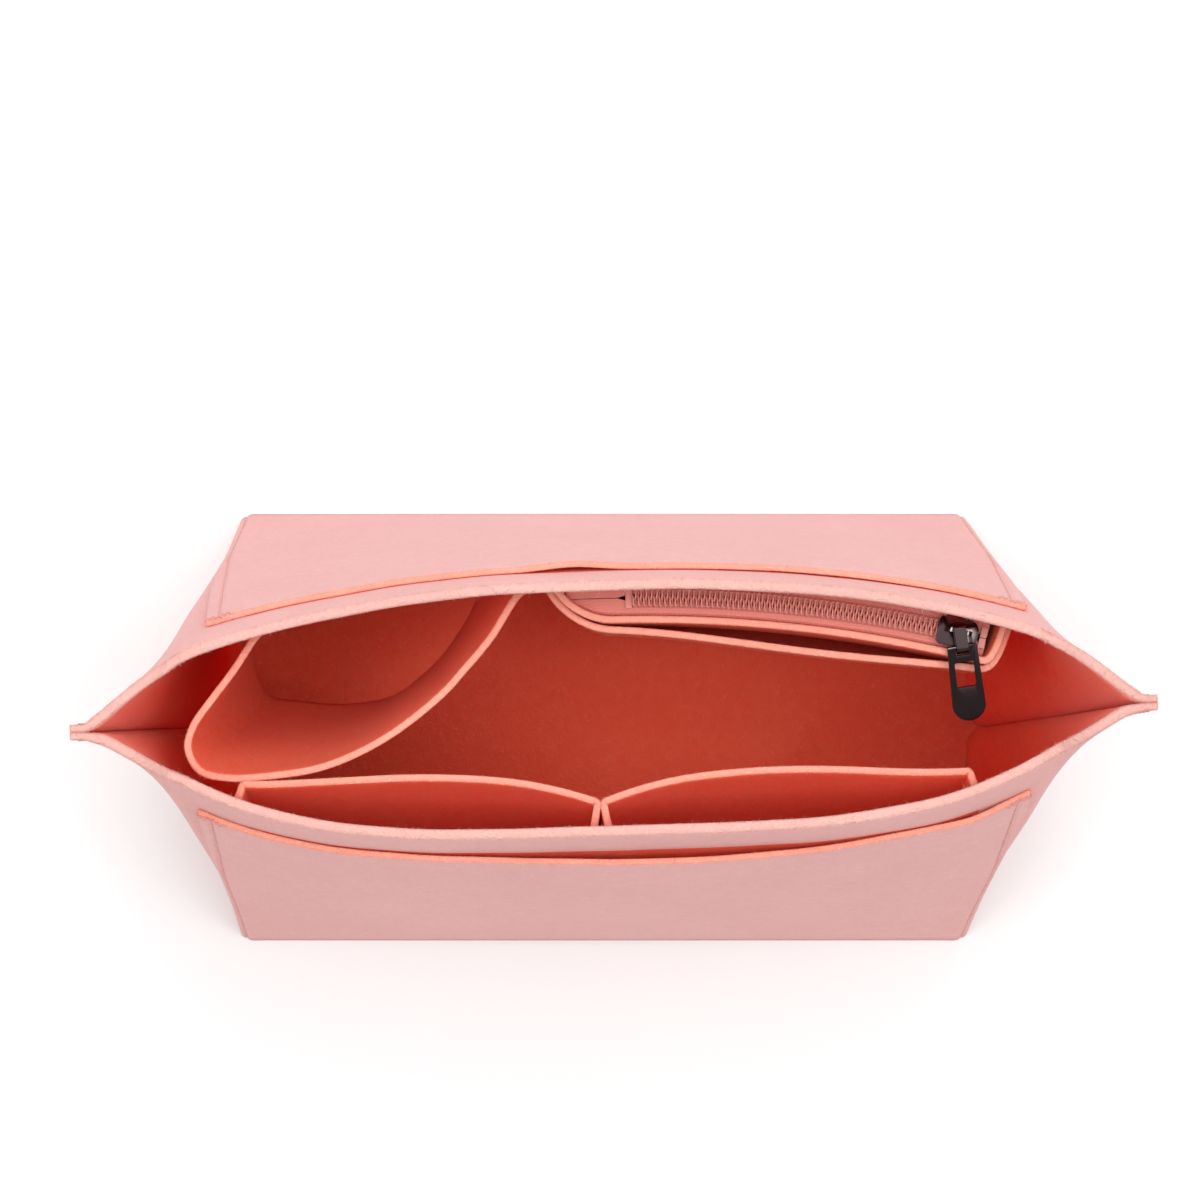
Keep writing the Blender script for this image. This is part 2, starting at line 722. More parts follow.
def makeBase():
    shares = [*zoneShares[:4], base["nib"]]
    half = merged(*[spread(a, b, n) for a, b, n in zip(shares, shares[1:], (6, 12, 12, 6))])
    stations = merged([-s for s in half], half)

    def edge(side, s):
        foot = wallPoint(side, s, 0, base["past"])
        above = wallPoint(side, s, base["thick"] / wallRise(side, s), base["past"])
        return Vector((foot.x, above.y, 0))

    outline = [edge(-1, s) for s in stations] + [edge(1, s) for s in reversed(stations)]
    count, rounded = len(outline), base["round"]
    levels = [(0, rounded), (rounded, 0), (base["thick"] - rounded, 0), (base["thick"], rounded)]
    vertices = []
    for level, inset in levels:
        for point in outline:
            pulled = point * (1 - inset / max(point.length, 1))
            vertices.append(Vector((pulled.x, pulled.y, level)))
    top = (len(levels) - 1) * count
    faces = []
    for ring in range(0, top, count):
        for k in range(count):
            a, b = ring + k, ring + (k + 1) % count
            faces.append([a, b, b + count, a + count])
    marks = [2] * len(faces) + [1, 0]
    faces += [[k for k in reversed(range(count))], [top + k for k in range(count)]]
    obj = addMesh("basePanel", vertices, faces, [feltFloor, feltOutside, feltEdge], marks)
    turnOutward(obj)
    return keep(obj, "shell", "base_panel")


makeBase()

print("outer pockets")

outerPocket = {
    "drop": 17.0, "reach": 0.99, "backLeft": 0.97, "footReach": 0.655, "felt": 2.0, "gap": 0.05,
    "open": 2.4, "stitchInset": 3.8, "stitch": 3.1, "groove": 0.45, "grooveWidth": 0.85,
    "crease": 0.25, "creaseWidth": 1.2, "thread": 0.24,
}
# Where the tops stand away from the walls: each hill has its height, its place along the pocket and width.
gape = {
    "frontSwing": (0.72, 0.35, 4.1, 0.6), "front": [(0.9, 0.86, 0.07)],
    "back": [(1.2, -0.09, 0.09), (0.3, 0.5, 0.3)],
}
tack = {"count": 11, "pitch": 0.7, "drop": 1.2, "zigzag": 0.5, "half": 0.9, "slant": 0.35, "thread": 0.27}
outerFuzz = {"count": 2600, "length": 0.7, "width": 0.06, "lean": (-0.4, 0.8)}
pocketTopShare = 1 - outerPocket["drop"] / wall["panelHeight"]
pocketReach = wall["faceShare"] * outerPocket["reach"]
stationPerMm = wall["faceShare"] / faceHalf
pocketLine = pocketReach - outerPocket["stitchInset"] * stationPerMm


def pocketOpening(side, station, height):
    across = station / pocketReach
    lift = smooth(height / pocketTopShare) ** 4
    hills = [high * hill(across - at, width) for high, at, width in gape["front" if side < 0 else "back"]]
    if side < 0:
        middle, swing, pace, start = gape["frontSwing"]
        shape = math.cos(clamp(abs(across)) * math.pi / 2) ** 2
        hills.insert(0, outerPocket["open"] * shape * (middle + swing * math.sin(across * pace + start)))
    return sum(hills) * lift


def makeOuterPocket(side, panel, name, cadName):
    top, line = pocketTopShare, pocketLine
    near = [line + aside * stationPerMm for aside in (-2.4, -1.6, -1, -0.5, 0, 0.5, 1, 1.6, 2.4)]
    near += spread(pocketReach * 0.86, pocketReach, 14)
    stations = merged(spread(-pocketReach, pocketReach, 84), near, [-s for s in near])
    rows = merged(spread(0, top * 0.9, 26), spread(top * 0.9, top, 8))
    inner = wall["felt"] + outerPocket["gap"]
    outer = inner + outerPocket["felt"]

    def place(s, h, depth):
        share = (depth - inner) / outerPocket["felt"]
        fromLine = (abs(s) - line) / stationPerMm
        dip = outerPocket["groove"] * hill(fromLine, outerPocket["grooveWidth"]) * share
        crease = hill((h - top) * wall["panelHeight"], outerPocket["creaseWidth"]) * (share - 0.5)
        short = outerPocket["backLeft"] if side > 0 and s < 0 else 1
        wrapped = s * lerp(outerPocket["footReach"] / pocketReach, short, h / top)
        opened = pocketOpening(side, s, h) - outerPocket["crease"] * crease
        return wallSurface(side, wrapped, h, depth + opened - dip)

    feltPanel(name, cadName, stations, rows, place, (inner, outer), [feltInside, feltOutside, feltEdge], 0.3)
    # The wall is red under the pocket too.
    for polygon in panel.data.polygons:
        x, _, z = polygon.center / mm
        if polygon.material_index == 1 and z < top * wallRise(side, 0) - 1 and abs(x) < faceHalf * 0.9:
            polygon.material_index = 3

    runs, tacks = [], []
    for end in (-1, 1):
        heights = spread(0.012, top - 0.006, 60)
        points = [place(end * line, h, outer) for h in heights]
        runs += stitchRuns(points, [wallNormal(side, end * line, h) for h in heights], outerPocket["stitch"])
        for k in range(tack["count"]):
            s = end * (line + (k - tack["count"] // 2) * tack["pitch"] * stationPerMm)
            drop = tack["drop"] + (tack["zigzag"] if k % 2 else -tack["zigzag"])
            height, half = top - drop / wall["panelHeight"], tack["half"] / wall["panelHeight"]
            start = place(s, height + half, outer)
            finish = place(s + end * tack["slant"] * stationPerMm, height - half, outer)
            tacks.append((start, finish, wallNormal(side, s, height)))
    stitchMesh(name + "Stitches", runs, outerPocket["thread"])
    stitchMesh(name + "Tacks", tacks, tack["thread"])
    rise = lambda s, h: Vector((0, 0, 0.8)) + wallNormal(side, s, h) * random.uniform(*outerFuzz["lean"])
    roots = edgeRoots(place, stations, top, (inner, outer), outerFuzz["count"], rise)
    fuzzMesh(name + "Fuzz", roots, outerFuzz, feltEdge)


makeOuterPocket(-1, frontWall, "frontOuterPocket", "front_outer_pocket")
makeOuterPocket(1, backWall, "backOuterPocket", "back_outer_pocket")

print("seam and base stitching")

seamStitch = {"radius": 0.26, "length": 3.2, "depth": 0.98, "rise": 0.032, "baseEnd": 0.93, "clear": 0.006}


def makeShellStitches():
    level, outer = seamStitch["rise"], wall["felt"] - 0.05
    baseEnd, clear = seamStitch["baseEnd"], outerPocket["footReach"] + seamStitch["clear"]
    runs = []

    def sew(side, spots):
        points = [wallSurface(side, s, h, outer) for s, h in spots]
        return stitchRuns(points, [wallNormal(side, s, h) for s, h in spots], seamStitch["length"])

    for side in (-1, 1):
        for end in (-1, 1):
            runs += sew(side, [(end * seamStitch["depth"], h) for h in spread(0.01, 0.992, 60)])
        for end in (-1, 1):
            runs += sew(side, [(s, level) for s in spread(-baseEnd, baseEnd, 240) if s * end > clear])
    return stitchMesh("shellStitches", runs, seamStitch["radius"])


makeShellStitches()

print("inner pockets")

innerPocket = {
    "felt": 2.0, "drop": 13.0, "height": 100.0, "stands": (6.8, 9.8, 16.8), "fold": 0.9, "footStand": 2.8,
    "leftInset": 10.6, "rightInset": 15.2, "meet": -3.9, "apart": 1.7, "spread": 1.5,
    "wave": 0.5, "wavePace": (0.03, 2.0), "waveFrom": 8,
}
innerFuzz = {"count": 1300, "length": 0.7, "width": 0.06, "lean": 0.4}


def quadratic(a, b, c, count):
    return [a.lerp(b, t).lerp(b.lerp(c, t), t) for t in spread(0, 1, count)]


def cubic(a, b, c, d, count):
    steps = [(t, 1 - t) for t in spread(0, 1, count)]
    return [a * u ** 3 + b * (3 * u * u * t) + c * (3 * u * t * t) + d * t ** 3 for t, u in steps]


# A pocket's line seen from above: square out from the wall, round a turn, over the belly and back to the
# wall. The stands are its distances from the wall at the outer end, the end by the middle and the belly.
def pocketPath(outerX, middleX, outerStand, middleStand, belly):
    way = math.copysign(1, middleX - outerX)
    start = wall["seat"] + innerPocket["felt"] / 4
    outerFold, middleFold = [min(innerPocket["fold"], (s - start) / 2) for s in (outerStand, middleStand)]
    third = (middleX - outerX) / 3
    reach = (8 * belly - outerStand - middleStand) / 6
    lean = 3 * (middleStand - outerStand) / 4
    legFoot = middleX - way * innerPocket["spread"] * middleStand / innerPocket["stands"][1]
    v = lambda x, y: Vector((x, y, 0))
    outerTurn = v(outerX + way * outerFold, outerStand + outerFold / 3)
    middleTurn = v(middleX - way * middleFold, middleStand + middleFold / 3)
    parts = [
        [v(outerX, start), v(outerX, outerStand - outerFold)],
        quadratic(v(outerX, outerStand - outerFold), v(outerX, outerStand), outerTurn, 6),
        cubic(
            outerTurn, v(outerX + third, reach - lean), v(middleX - third, reach + lean), middleTurn, 44,
        ),
        quadratic(middleTurn, v(middleX, middleStand), v(middleX, middleStand - middleFold), 6),
        [v(middleX, middleStand - middleFold), v(legFoot, start)],
    ]
    return parts[0] + [point for part in parts[1:] for point in part[1:]]


def makeInnerPocket(outerX, middleX, name, cadName, seed):
    topShare = 1 - innerPocket["drop"] / wall["panelHeight"]
    footShare = topShare - innerPocket["height"] / wall["panelHeight"]
    rows = spread(0, 1, 30)
    paths = []
    for row in rows:
        out = math.sin(row * math.pi / 2)
        stands = [lerp(innerPocket["footStand"], stand, out) for stand in innerPocket["stands"]]
        paths.append(pocketPath(outerX, middleX, *stands))

    def place(i, row, depth):
        path = paths[min(range(len(rows)), key=lambda n: abs(rows[n] - row))]
        n = min(int(i), len(path) - 2)
        here = path[n].lerp(path[n + 1], i - n)
        before, after = path[max(n - 1, 0)], path[min(n + 2, len(path) - 1)]
        square = Vector((before.y - after.y, after.x - before.x, 0)).normalized()
        along, up = innerPocket["wavePace"]
        rough = noise.noise(Vector((here.x * along, row * up, seed)))
        rough *= clamp(here.y / innerPocket["waveFrom"])
        here = here + square * (depth + innerPocket["wave"] * rough)
        station = here.x / faceHalf * wall["faceShare"]
        return wallPoint(-1, station, lerp(footShare, topShare, row), -here.y)

    columns = [float(i) for i in range(len(paths[0]))]
    depths = (-innerPocket["felt"] / 2, innerPocket["felt"] / 2)
    insidePanel(name, cadName, columns, rows, place, depths, innerFuzz)


leftEnd, rightEnd = innerPocket["leftInset"] - faceHalf, faceHalf - innerPocket["rightInset"]
leftMeet, rightMeet = [innerPocket["meet"] + way * innerPocket["apart"] / 2 for way in (-1, 1)]
makeInnerPocket(leftEnd, leftMeet, "innerPocketLeft", "inner_pocket_left", 3.0)
makeInnerPocket(rightEnd, rightMeet, "innerPocketRight", "inner_pocket_right", 8.0)

print("bottle holder")

holder = {
    "felt": 2.0, "drop": 18.0, "height": 92.0, "leftInset": 17.6, "right": 25.2, "lowerRight": 35.0,
    "depth": 41.0, "lowerDepth": 46.0, "flange": 4.0, "endDrop": 3.0, "turn": 1.0,
    "wave": 0.9, "wavePace": (0.06, 1.6, 4.0), "waveFrom": 12,
    "top": [
        (-0.1, 0.2), (-0.21, 0.4), (-0.295, 0.57), (-0.33, 0.72), (-0.3, 0.87), (-0.19, 0.955),
        (-0.04, 0.985), (0.175, 0.97), (0.42, 0.84), (0.635, 0.62), (0.745, 0.455), (0.86, 0.27),
    ],
    "foot": [
        (-0.1, 0.26), (-0.21, 0.51), (-0.24, 0.67), (-0.22, 0.83), (-0.165, 0.93), (-0.03, 0.98),
        (0.205, 1.02), (0.44, 0.98), (0.61, 0.84), (0.755, 0.67), (0.86, 0.47), (0.925, 0.26),
    ],
}
holderFuzz = {"count": 1800, "length": 0.8, "width": 0.06, "lean": 0.4}


# A smooth curve through the points that makes no loops, with the same number of steps in each span
def splinePoints(points, perSpan):
    ends = [points[0] * 2 - points[1], *points, points[-1] * 2 - points[-2]]
    result = []
    for n in range(len(points) - 1):
        p = ends[n:n + 4]
        knots = [0.0]
        for a, b in zip(p, p[1:]):
            knots.append(knots[-1] + max((b - a).length, 1e-6) ** 0.5)

        def between(line, step, t):
            return [
                a.lerp(b, (t - knots[i]) / (knots[i + step] - knots[i]))
                for i, (a, b) in enumerate(zip(line, line[1:]))
            ]

        for k in range(perSpan + (n == len(points) - 2)):
            t = lerp(knots[1], knots[2], k / perSpan)
            a, b = between(between(p, 1, t), 2, t)
            result.append(a.lerp(b, (t - knots[1]) / (knots[2] - knots[1])))
    return result


def holderCurve(leftX, rightX, level, depth, shares):
    flat = wall["seat"] + holder["felt"] / 2
    left, right = [wallAt(1, -x, level, -flat - holder["turn"]) for x in (leftX, rightX)]
    tipLevel = level - holder["endDrop"]
    leftTip, rightTip = [wallAt(1, holder["flange"] - x, tipLevel, -flat) for x in (leftX, rightX)]
    along = right - left
    along.z = 0
    out = Vector((along.y, -along.x, 0)).normalized() * depth
    inner = [left + along * a + out * b for a, b in shares]
    return splinePoints([leftTip, left, *inner, right, rightTip], 8)


def makeHolder():
    left = faceHalf - holder["leftInset"]
    topLevel = wallRise(1, 0) - holder["drop"]
    footLevel = topLevel - holder["height"]
    top = holderCurve(left, holder["right"], topLevel, holder["depth"], holder["top"])
    foot = holderCurve(left, holder["lowerRight"], footLevel, holder["lowerDepth"], holder["foot"])
    last = len(top) - 1

    def middle(i, h):
        n = min(int(i), last - 1)
        a, b = [line[n].lerp(line[n + 1], i - n) for line in (foot, top)]
        return a.lerp(b, h)

    def place(i, h, depth):
        slope = middle(min(i + 1, last), h) - middle(max(i - 1, 0), h)
        square = Vector((slope.y, -slope.x, 0)).normalized()
        free = smooth(min(i, last - i) / holder["waveFrom"])
        along, up, seed = holder["wavePace"]
        wave = holder["wave"] * noise.noise(Vector((i * along, h * up, seed))) * free
        return middle(i, h) + square * (depth + wave)

    columns = [float(i) for i in range(len(top))]
    insidePanel("bottleHolder", "bottle_holder", columns, spread(0, 1, 30), place, (-1, 1), holderFuzz)


makeHolder()

print("zipped pocket")

zipper = {
    "radius": 405.3435, "middle": 6.4512, "left": -50.9435, "right": 51.4683,
    "tape": 0.7, "flange": 9.0, "standOff": 4.3, "slit": 1.0, "closed": 0.5, "opening": 1.5, "touch": 0.06,
    "pastLeft": 16.0, "pastRight": 1.8, "flatRow": 0.38, "turnRow": 0.5, "turn": 0.9,
    "coilHalf": 2.9, "coilThick": 1.8, "pitch": 1.5, "wire": 0.27, "overlap": 0.85, "perLoop": 14,
    "stopLength": 1.8, "park": 0.7,
}
coilStitch = {"thread": 0.16, "back": 0.2, "ahead": 1.5, "inset": 1.0, "slant": 0.5, "sunk": 0.12}
zipPocket = {
    "edge": 4.4, "height": 92.0, "left": -14.0, "rightInset": 7.2, "leftRun": 15.0, "rightRun": 2.4,
    "leftTurn": 1.5, "felt": 2.0,
    "slipDrop": 3.4, "slipHeight": 86.0, "slipGap": 4.1, "slipLean": 1.31, "slipFullness": 1.2,
}
zipFuzz = {"count": 1300, "length": 0.6, "width": 0.055, "lean": 0.5}
slider = {
    "length": 11.6, "width": 8.4, "tail": 7.4, "plate": 1.2, "clear": 0.3, "channel": 6.4,
    "neckWidth": 1.5, "neck": 3.6, "nose": 0.42, "tailRound": 1.6, "sunk": 0.3,
    "bailSpan": 7.6, "bailOpening": 5.2, "bar": 1.3, "rise": 2.6, "archRound": 1.7, "openingRound": 0.7,
    "barRound": 0.4, "round": 0.18,
}
# The chain runs round the axis that the slider turns about, at the level of the tapes' under side.
slideJoint = next(joint for joint in frame["joints"] if joint["name"] == "zip_slide")
zipCentre = Vector(slideJoint["pos_m"]) / mm
zipRadius = zipper["radius"]
tapeUnder = zipCentre.z
coilLow = tapeUnder + zipper["tape"] + wall["seat"]
coilTop = coilLow + zipper["coilThick"]
zipLeft, zipRight = zipper["left"], zipper["right"]
turnStart = zipPocket["left"] + zipPocket["leftRun"]
zipMiddleAngle = math.radians(zipper["middle"])


def zipPoint(place, offset, z):
    angle = zipMiddleAngle + place / zipRadius
    radius = zipRadius + offset
    return Vector((zipCentre.x + radius * math.sin(angle), zipCentre.y + radius * math.cos(angle), z))


sliderRest = zipRight - zipper["stopLength"] / 2 - zipper["park"] - slider["length"] / 2
pocketTop = tapeUnder + zipPocket["edge"]
pocketRight = faceHalf - zipPocket["rightInset"]


# A station along the felt runs from 0 at the wall, round a turn to 1, beside the tape to 2 and back to the
# wall at 3.
def zipFeltPlace(station):
    start, end = turnStart, pocketRight - zipPocket["rightRun"]
    turn = clamp(min(station, 3 - station)) * math.pi / 2
    if station < 1:
        return start - zipPocket["leftRun"] * math.cos(turn), math.sin(turn) ** zipPocket["leftTurn"]
    if station > 2:
        return end + zipPocket["rightRun"] * math.cos(turn), math.sin(turn)
    return lerp(start, end, station - 1), 1


def zipFeltBack(station, level):
    x, away = zipFeltPlace(station)
    height = zipPocket["height"]
    rise = clamp((level - pocketTop + height) / (height * 5 / 6))
    onWall = wallAt(1, x, level, 0)
    square = onWall - wallAt(1, x, level, 1)
    square.z = 0
    toCentre = zipCentre - onWall
    toCentre.z = 0
    beside = toCentre.length - zipRadius + zipper["standOff"] + zipper["tape"] + wall["seat"]
    stand = lerp(wall["seat"], beside, away * math.sin(rise * math.pi / 2))
    return onWall + square.lerp(toCentre.normalized(), away).normalized() * stand


def zipFeltPoint(station, level, offset):
    slope = zipFeltBack(min(station + 0.001, 3), level) - zipFeltBack(max(station - 0.001, 0), level)
    slope.z = 0
    slope.normalize()
    return zipFeltBack(station, level) + Vector((slope.y, -slope.x, 0)) * offset


def makeZipFelt(name, cadName, top, height, standOff):
    columns = merged(spread(0, 1, 20), spread(1, 2, 48), spread(2, 3, 16))
    rows = merged(spread(0, 0.83, 18), spread(0.83, 1, 8))

    def place(station, row, depth):
        return zipFeltPoint(station, lerp(top - height, top, row), depth + standOff(station, row))

    insidePanel(name, cadName, columns, rows, place, (0, zipPocket["felt"]), zipFuzz)


def slipStand(station, row):
    share = (zipFeltPlace(station)[0] - zipPocket["left"]) / (pocketRight - zipPocket["left"])
    shape = math.sin(math.pi * clamp(share) ** zipPocket["slipLean"]) ** zipPocket["slipFullness"]
    return zipPocket["felt"] + 0.15 + zipPocket["slipGap"] * shape * math.sin(row * math.pi / 2)


slipTop = pocketTop - zipPocket["slipDrop"]
makeZipFelt("zipPocketFront", "zip_pocket_front", pocketTop, zipPocket["height"], lambda station, row: 0)
makeZipFelt("slipPocket", "slip_pocket", slipTop, zipPocket["slipHeight"], slipStand)

print("zipper")


# A tape lies flat beside the coil and turns down along the felt it is sewn to. Past the chain's left end the
# two tapes meet.
def makeTape(side, name, cadName):
    startX = zipPoint(zipLeft - zipper["pastLeft"], 0, 0).x
    endX = zipPoint(zipRight + zipper["pastRight"], 0, 0).x
    openX = zipPoint(zipLeft - zipper["closed"], 0, 0).x
    flatRow, turnRow, half = zipper["flatRow"], zipper["turnRow"], zipper["tape"] / 2
    rows = merged(spread(0, flatRow, 6), spread(flatRow, turnRow, 6), spread(turnRow, 1, 6))
    middle = tapeUnder + half

    def fromCentre(x, level):
        spot = wallAt(1, x, level, -wall["seat"]) - zipCentre
        spot.z = 0
        return spot

    def place(x, row, depth):
        high, low = fromCentre(x, tapeUnder), fromCentre(x, tapeUnder - zipper["flange"])
        angle = math.atan2(high.x, high.y)
        if side > 0:
            outer, outerLow = high.length - zipRadius - half, low.length - zipRadius - half
        else:
            turned = (1 - clamp((turnStart - x) / zipPocket["leftRun"]) ** 2) ** (zipPocket["leftTurn"] / 2)
            outer = lerp(high.length - zipRadius, -zipper["standOff"], turned) - half
            outer = outerLow = min(outer, -0.6)
        inner = side * lerp(zipper["touch"], zipper["slit"], smooth((x - openX) / zipper["opening"]))
        turn = min(zipper["turn"], 0.6 * abs(outer - inner))
        if row < flatRow:
            v, z, normal = lerp(inner, outer - side * turn, row / flatRow), middle, (0, 1)
        elif row < turnRow:
            bend = (row - flatRow) / (turnRow - flatRow) * math.pi / 2
            v = outer - side * turn + side * turn * math.sin(bend)
            z = middle - turn + turn * math.cos(bend)
            normal = (side * math.sin(bend), math.cos(bend))
        else:
            share = (row - turnRow) / (1 - turnRow)
            v, z = lerp(outer, outerLow, share), lerp(middle - turn, tapeUnder - zipper["flange"], share)
            normal = (side, 0)
        radius = zipRadius + v + normal[0] * depth
        z += normal[1] * depth
        return Vector((zipCentre.x + radius * math.sin(angle), zipCentre.y + radius * math.cos(angle), z))

    feltPanel(name, cadName, spread(startX, endX, 66), rows, place, (-half, half), [tapeCloth] * 3, 0.12)


makeTape(1, "zipperTapeBack", "zipper_tape_back")
makeTape(-1, "zipperTapeFront", "zipper_tape_front")


def curveTube(name, points, radius, material):
    curve = bpy.data.curves.new(name, "CURVE")
    curve.dimensions = "3D"
    curve.bevel_depth = radius * mm
    curve.bevel_resolution = 2
    curve.use_fill_caps = True
    spline = curve.splines.new("POLY")
    spline.points.add(len(points) - 1)
    for target, point in zip(spline.points, points):
        target.co = (*(point * mm), 1)
    obj = bpy.data.objects.new(name, curve)
    bpy.context.collection.objects.link(obj)
    choose(obj)
    bpy.ops.object.convert(target="MESH")
    obj = bpy.context.object
    obj.data.materials.clear()
    obj.data.materials.append(material)
    bpy.ops.object.shade_smooth()
    return obj


# One row of the chain: a nylon coil whose heads pass between those of the other row, sewn to its tape
def makeCoil(side, name, cadName):
    chainEnd = sliderRest + slider["length"] / 2 - slider["neck"] - 0.3
    pitch, wire, perLoop = zipper["pitch"], zipper["wire"], zipper["perLoop"]
    start = zipLeft + zipper["stopLength"] + (pitch / 2 if side > 0 else 0)
    count = int((chainEnd - zipLeft - zipper["stopLength"]) / pitch)
    inner, outer = -zipper["overlap"] + wire, zipper["coilHalf"] - wire
    centre, reach = (inner + outer) / 2, (outer - inner) / 2
    middle, rise = (coilLow + coilTop) / 2, zipper["coilThick"] / 2 - wire
    points = []
    for k in range(count * perLoop):
        turn = fullTurn * k / perLoop
        s = start + pitch * (k / perLoop + 0.12 * math.sin(2 * turn) / fullTurn)
        bulge = math.copysign(abs(math.cos(turn)) ** 0.8, math.cos(turn))
        points.append(zipPoint(s, side * (centre - reach * bulge), middle + rise * math.sin(turn)))
    keep(curveTube(name, points, wire, nylon), "shell", cadName)

    runs = []
    v, z = side * (zipper["coilHalf"] - coilStitch["inset"]), coilTop - coilStitch["sunk"]
    for k in range(count):
        s = start + k * pitch
        finish = zipPoint(s + coilStitch["ahead"], v + side * coilStitch["slant"], z)
        runs.append((zipPoint(s - coilStitch["back"], v, z), finish, Vector((0, 0, 1))))
    stitchMesh(name + "Stitches", runs, coilStitch["thread"])


makeCoil(1, "zipperCoilBack", "zipper_coil_back")
makeCoil(-1, "zipperCoilFront", "zipper_coil_front")

print("slider and pull")

pull = {
    "linkWidth": 3.4, "linkWall": 0.8, "hole": 2.0, "linkTail": 0.6, "reach": 4.6, "droop": 5.0, "yaw": 22.0,
    "tabDroop": 12.0, "thick": 1.2, "length": 21.6, "top": 8.4, "end": 9.7, "tabBar": 1.3,
    "slotWidth": 4.0, "slotHeight": 1.5, "slotRound": 0.3, "crossBar": 2.1, "window": (5.5, 7.3, 0.6),
    "linkRound": 0.2, "tabRound": 0.25,
}
plateTop = coilTop - tapeUnder + slider["clear"]
sliderTop = plateTop + slider["plate"]
bailHeight = sliderTop + slider["rise"]
sliderAngle = zipMiddleAngle + sliderRest / zipRadius
sliderPlace = zipPoint(sliderRest, 0, tapeUnder)
sliderFrame = Matrix.Translation(sliderPlace * mm) @ Matrix.Rotation(-sliderAngle, 4, "Z")
linkFrame = (
    sliderFrame
    @ Matrix.Translation((0, 0, bailHeight * mm))
    @ Matrix.Rotation(math.radians(pull["droop"]), 4, "X")
    @ Matrix.Rotation(math.radians(pull["yaw"]), 4, "Z")
)
tabFrame = (
    linkFrame
    @ Matrix.Translation((0, -pull["reach"] * mm, 0))
    @ Matrix.Rotation(math.radians(pull["tabDroop"]), 4, "X")
)


# In edit mode, with only those parts of the solid selected that the test picks
def editParts(obj, kind, picks):
    choose(obj)
    bpy.ops.object.mode_set(mode="EDIT")
    bpy.ops.mesh.select_mode(type=kind)
    bpy.ops.mesh.select_all(action="DESELECT")
    edit = bmesh.from_edit_mesh(obj.data)
    for part in edit.edges if kind == "EDGE" else edit.verts:
        part.select_set(picks(part))
    bmesh.update_edit_mesh(obj.data)


# Edges along one axis, on the side of the solid that the test picks, rounded
def roundEdges(obj, axis, radius, segments, wanted=lambda point: True):
    def picks(edge):
        a, b = [vertex.co / mm for vertex in edge.verts]
        return abs((b - a).normalized()[axis]) > 0.96 and wanted((a + b) / 2)

    editParts(obj, "EDGE", picks)
    bpy.ops.mesh.bevel(offset=radius * mm, segments=segments, affect="EDGES", clamp_overlap=True)
    bpy.ops.mesh.select_all(action="SELECT")
    bpy.ops.mesh.remove_doubles(threshold=0.002 * mm)
    bpy.ops.object.mode_set(mode="OBJECT")


def metalBox(name, low, high):
    low, high = Vector(low), Vector(high)
    bpy.ops.mesh.primitive_cube_add(size=1, location=(low + high) / 2 * mm)
    obj = bpy.context.object
    obj.name = obj.data.name = name
    obj.scale = (high - low) * mm
    bpy.ops.object.transform_apply(location=True, rotation=False, scale=True)
    obj.data.materials.append(blackNickel)
    return obj


# The end of a solid at one side of a place along Y is made wider or narrower in X.
def taper(obj, below, factor):
    editParts(obj, "VERT", lambda vertex: vertex.co.y / mm < below)
    bpy.ops.transform.resize(value=(factor, 1, 1), center_override=(0, 0, 0))
    bpy.ops.object.mode_set(mode="OBJECT")


def combine(target, other, operation):
    modifier = target.modifiers.new("combine", "BOOLEAN")
    modifier.operation = operation
    modifier.solver = "EXACT"
    modifier.object = other
    applyModifiers(target)
    bpy.data.objects.remove(other)


def polish(obj, radius, frameOfPiece):
    bevel = obj.modifiers.new("edges", "BEVEL")
    bevel.width, bevel.segments, bevel.limit_method = radius * mm, 3, "ANGLE"
    bevel.angle_limit = math.radians(40)
    applyModifiers(obj)
    turnOutward(obj)
    obj.data.transform(frameOfPiece)
    choose(obj)
    bpy.ops.object.shade_smooth_by_angle(angle=math.radians(35))


def makeSlider():
    half, side, channelHalf = slider["length"] / 2, slider["width"] / 2, slider["channel"] / 2
    clear, sunk, wide, past = slider["clear"], slider["sunk"], slider["neckWidth"] / 2, half + 1
    tailRound = side - slider["tail"] / 2 + slider["tailRound"]
    body = metalBox("sliderBody", (-half, -side, -clear - slider["plate"]), (half, side, sliderTop))
    roundEdges(body, 2, slider["width"] * slider["nose"], 10, lambda point: point.x > 0)
    roundEdges(body, 2, tailRound, 6, lambda point: point.x < -half + 0.1)
    channel = metalBox("channel", (-past, -channelHalf, -clear), (past, channelHalf, plateTop))
    combine(body, channel, "DIFFERENCE")
    slot = metalBox("slot", (-past, -2 * side, -clear), (past, 2 * side, zipper["tape"] + clear))
    combine(body, slot, "DIFFERENCE")
    neckEnd = half - slider["neck"]
    neck = metalBox("neck", (neckEnd, -wide, -clear - sunk), (half - 0.5, wide, plateTop + sunk))
    roundEdges(neck, 2, wide * 0.9, 5)
    combine(body, neck, "UNION")

    outer, inner, bar = slider["bailSpan"] / 2, slider["bailOpening"] / 2, slider["bar"]
    arch = metalBox("bail", (-outer, -bar / 2, sliderTop - 0.5), (outer, bar / 2, bailHeight + bar / 2))
    roundEdges(arch, 1, slider["archRound"], 8, lambda point: point.z > sliderTop)
    opening = metalBox("opening", (-inner, -bar, sliderTop - 1), (inner, bar, bailHeight - bar / 2))
    roundEdges(opening, 1, slider["openingRound"], 5, lambda point: point.z > sliderTop)
    combine(arch, opening, "DIFFERENCE")
    roundEdges(arch, 0, slider["barRound"], 4, lambda point: point.z > bailHeight - bar)
    combine(body, arch, "UNION")
    polish(body, slider["round"], sliderFrame)
    return keep(body, "slider", "slider_body")


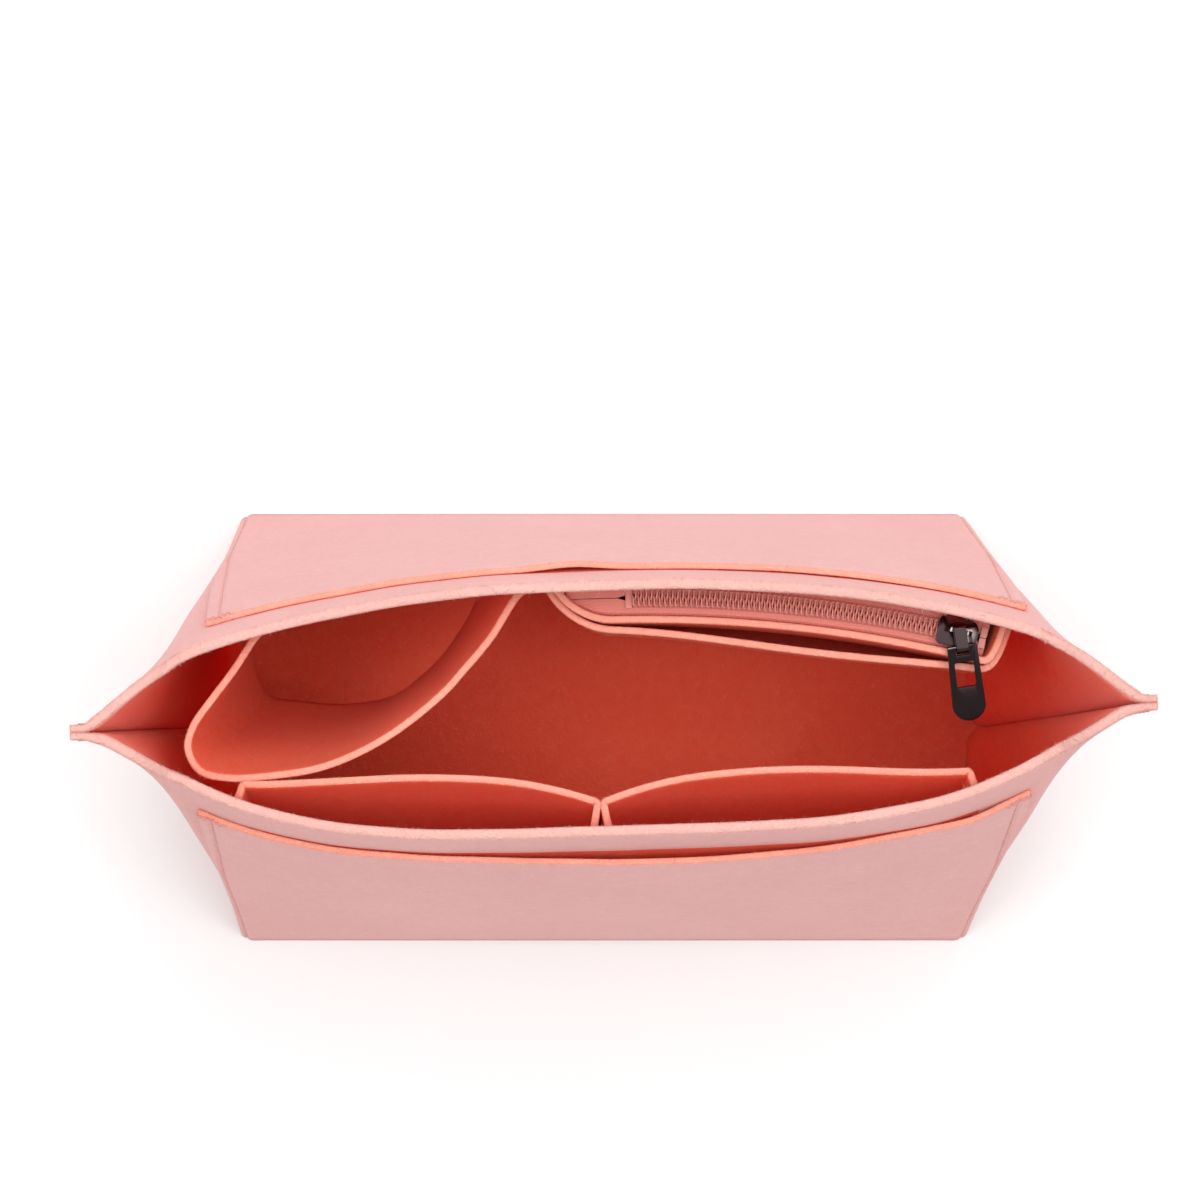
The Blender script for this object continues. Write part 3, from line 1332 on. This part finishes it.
def makeLink():
    wide, hole = pull["linkWidth"] / 2, pull["hole"] / 2
    outer = hole + pull["linkWall"]
    near, far = pull["linkTail"], -pull["reach"]
    link = metalBox("pullLink", (-wide, far - outer, -outer), (wide, near + outer, outer))
    roundEdges(link, 0, outer * 0.995, 12)
    opening = metalBox("opening", (-2 * wide, far - hole, -hole), (2 * wide, near + hole, hole))
    roundEdges(opening, 0, hole * 0.995, 8)
    combine(link, opening, "DIFFERENCE")
    polish(link, pull["linkRound"], linkFrame)
    return keep(link, "link", "pull_link")


def makeTab():
    half, bar = pull["thick"] / 2, pull["tabBar"] / 2
    top, end = pull["top"] / 2, pull["end"] / 2
    tab = metalBox("pullTab", (-top, -pull["length"], -half), (top, bar, half))
    taper(tab, 0, pull["end"] / pull["top"])
    roundEdges(tab, 2, end * 0.99, 20, lambda point: point.y < -bar)
    roundEdges(tab, 2, bar, 5, lambda point: point.y > 0)
    slotHalf = pull["slotWidth"] / 2
    slotLow = -bar - pull["slotHeight"]
    slot = metalBox("opening", (-slotHalf, slotLow, -2 * half), (slotHalf, -bar, 2 * half))
    roundEdges(slot, 2, pull["slotRound"], 4)
    combine(tab, slot, "DIFFERENCE")
    width, length, radius = pull["window"]
    windowTop = slotLow - pull["crossBar"]
    windowLow = windowTop - length
    window = metalBox("opening", (-width / 2, windowLow, -2 * half), (width / 2, windowTop, 2 * half))
    roundEdges(window, 2, radius, 5)
    combine(tab, window, "DIFFERENCE")
    polish(tab, pull["tabRound"], tabFrame)
    return keep(tab, "tab", "pull_tab")


makeSlider()
makeLink()
makeTab()

for name in ("bottom_stop", "top_stop_back", "top_stop_front"):
    stop = frame["nodes"][name]
    stop.data.materials.clear()
    stop.data.materials.append(stopNylon)

print("floor")

# Far from the object the floor is seen as white as the background, so that no horizon shows.
floor = {"size": 6.0, "colour": (0.9, 0.9, 0.9), "fade": (0.35, 0.9)}
bpy.ops.mesh.primitive_plane_add(size=floor["size"], location=(0, 0, -0.0003))
floorObject = bpy.context.object
floorObject.name = "floor"
floorMaterial, nodes = newMaterial("floor")
shader = nodes.add("ShaderNodeBsdfPrincipled", {"Base Color": (*floor["colour"], 1), "Roughness": 0.9})
away = nodes.add("ShaderNodeVectorMath", {0: nodes.place()}, operation="LENGTH").outputs["Value"]
far = nodes.math("MULTIPLY", nodes.ramp(away, *floor["fade"], interpolation_type="SMOOTHSTEP"), nodes.seen())
plain = nodes.add("ShaderNodeEmission", {"Color": (1, 1, 1, 1), "Strength": light["backdrop"]})
shown = nodes.add("ShaderNodeMixShader", {0: far, 1: shader, 2: plain})
nodes.add("ShaderNodeOutputMaterial", {"Surface": shown})
floorObject.data.materials.append(floorMaterial)

print("pieces", len(piecesMade))
